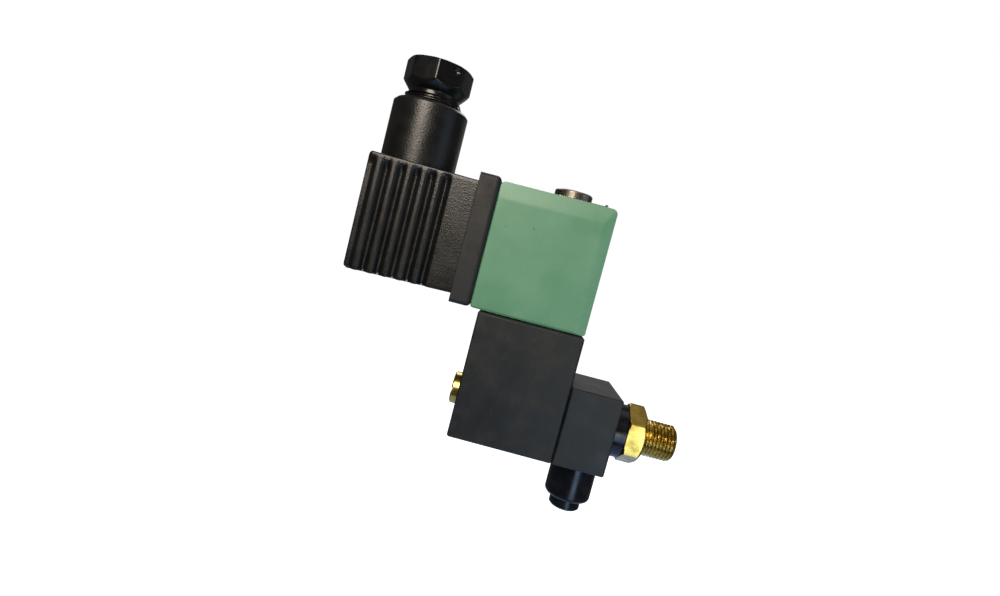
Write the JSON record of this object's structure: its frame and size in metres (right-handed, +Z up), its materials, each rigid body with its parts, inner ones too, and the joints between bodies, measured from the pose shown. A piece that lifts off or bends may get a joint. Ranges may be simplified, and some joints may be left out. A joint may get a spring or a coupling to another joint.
{
  "type": "solenoid valve",
  "caption": "Small direct-acting solenoid valve on a swivelling banjo fitting, with a moulded coil, a plug connector with cable gland and a push-in hose inlet.",
  "frame": {"origin": "on the banjo bolt's axis, at the shoulder where the male pipe thread starts", "axes": "+X out along the pipe thread, +Z up along the core tube, towards the exhaust port; the connector lies towards -X"},
  "size_m": [0.0942, 0.023, 0.1043],
  "materials": {
    "black_anodised": "black anodised, satin",
    "black_plastic": "smooth moulded",
    "black_rubber": "matt",
    "brass": "turned, bright",
    "copper": "enamelled wire",
    "grained_plastic": "fine moulded grain",
    "green_epoxy": "satin moulded",
    "spring_steel": "bright",
    "stainless": "turned",
    "tinned": "tinned",
    "white_plastic": "moulded",
    "zinc_steel": "zinc plated"
  },
  "bodies": {
    "pipe_stub": {"hex_nipple": "brass", "spacer_ring": "black_plastic", "banjo_bolt": "brass"},
    "inlet_group": {"inlet_block": "black_anodised", "block_oring": "black_rubber", "push_in_sleeve": "black_plastic", "grip_ring": "stainless", "backing_ring": "white_plastic", "tube_oring": "black_rubber"},
    "collet": {"release_collet": "black_plastic"},
    "valve_group": {"valve_body": "black_anodised", "body_orings": "black_rubber", "face_seal": "black_rubber", "seat_insert": "brass", "core_tube": "stainless", "ring_nut": "zinc_steel", "tube_base_oring": "black_rubber", "fixed_core": "stainless", "shading_ring": "copper", "retaining_clip": "spring_steel", "core_spring": "spring_steel"},
    "plunger": {"moving_core": "stainless", "seat_disc": "black_rubber", "exhaust_disc": "black_rubber"},
    "coil": {"coil_casing": "green_epoxy", "bobbin": "white_plastic", "coil_winding": "copper", "magnet_yoke": "zinc_steel", "power_blades": "tinned", "earth_blade": "tinned", "screw_insert": "brass"},
    "connector": {"connector_housing": "grained_plastic", "connector_gasket": "black_rubber", "contact_carrier": "black_plastic", "contact_clips": "tinned", "terminal_screws": "zinc_steel", "screw_seal": "black_rubber", "gland_grommet": "black_rubber"},
    "plug_screw": {"connector_screw": "zinc_steel"},
    "gland_carrier": {"gland_washer": "white_plastic"},
    "gland_nut_body": {"gland_nut": "black_plastic"}
  },
  "joints": [
    {"name": "valve_swivel", "type": "hinge", "parent": "pipe_stub", "child": "valve_group", "pos_m": [-0.0345, 0, 0], "axis": [1, 0, 0], "continuous": true},
    {"name": "inlet_swivel", "type": "hinge", "parent": "pipe_stub", "child": "inlet_group", "pos_m": [-0.01575, 0, 0], "axis": [1, 0, 0], "continuous": true},
    {"name": "collet_press", "type": "slide", "parent": "inlet_group", "child": "collet", "axis": [0, 0, 1], "range_m": [0, 0.0009], "stiffness_N_per_m": 400, "springref_m": -0.001},
    {"name": "plunger_lift", "type": "slide", "parent": "valve_group", "child": "plunger", "axis": [0, 0, 1], "range_m": [0, 0.0008], "stiffness_N_per_m": 300, "springref_m": -0.005, "deforming": ["core_spring"]},
    {"name": "coil_turn", "type": "hinge", "parent": "valve_group", "child": "coil", "pos_m": [-0.0345, 0, 0.03915], "axis": [0, 0, 1], "continuous": true},
    {"name": "plug_pull", "type": "slide", "parent": "coil", "child": "connector", "axis": [-1, 0, 0], "range_m": [0, 0.018]},
    {"name": "plug_screw_turn", "type": "hinge", "parent": "connector", "child": "plug_screw", "pos_m": [-0.0864, 0, 0.03955], "axis": [1, 0, 0], "continuous": true},
    {"name": "gland_advance", "type": "slide", "parent": "connector", "child": "gland_carrier", "axis": [0, 0, 1], "range_m": [-0.0019, 0.0045], "deforming": ["gland_grommet"]},
    {"name": "gland_nut_turn", "type": "hinge", "parent": "gland_carrier", "child": "gland_nut_body", "pos_m": [-0.0763, 0, 0.0731], "axis": [0, 0, 1], "range_deg": [-480, 1080]}
  ],
  "couplings": [
    {"joint": "gland_advance", "follows": "gland_nut_turn", "m_per_rad": 0.00022441}
  ]
}
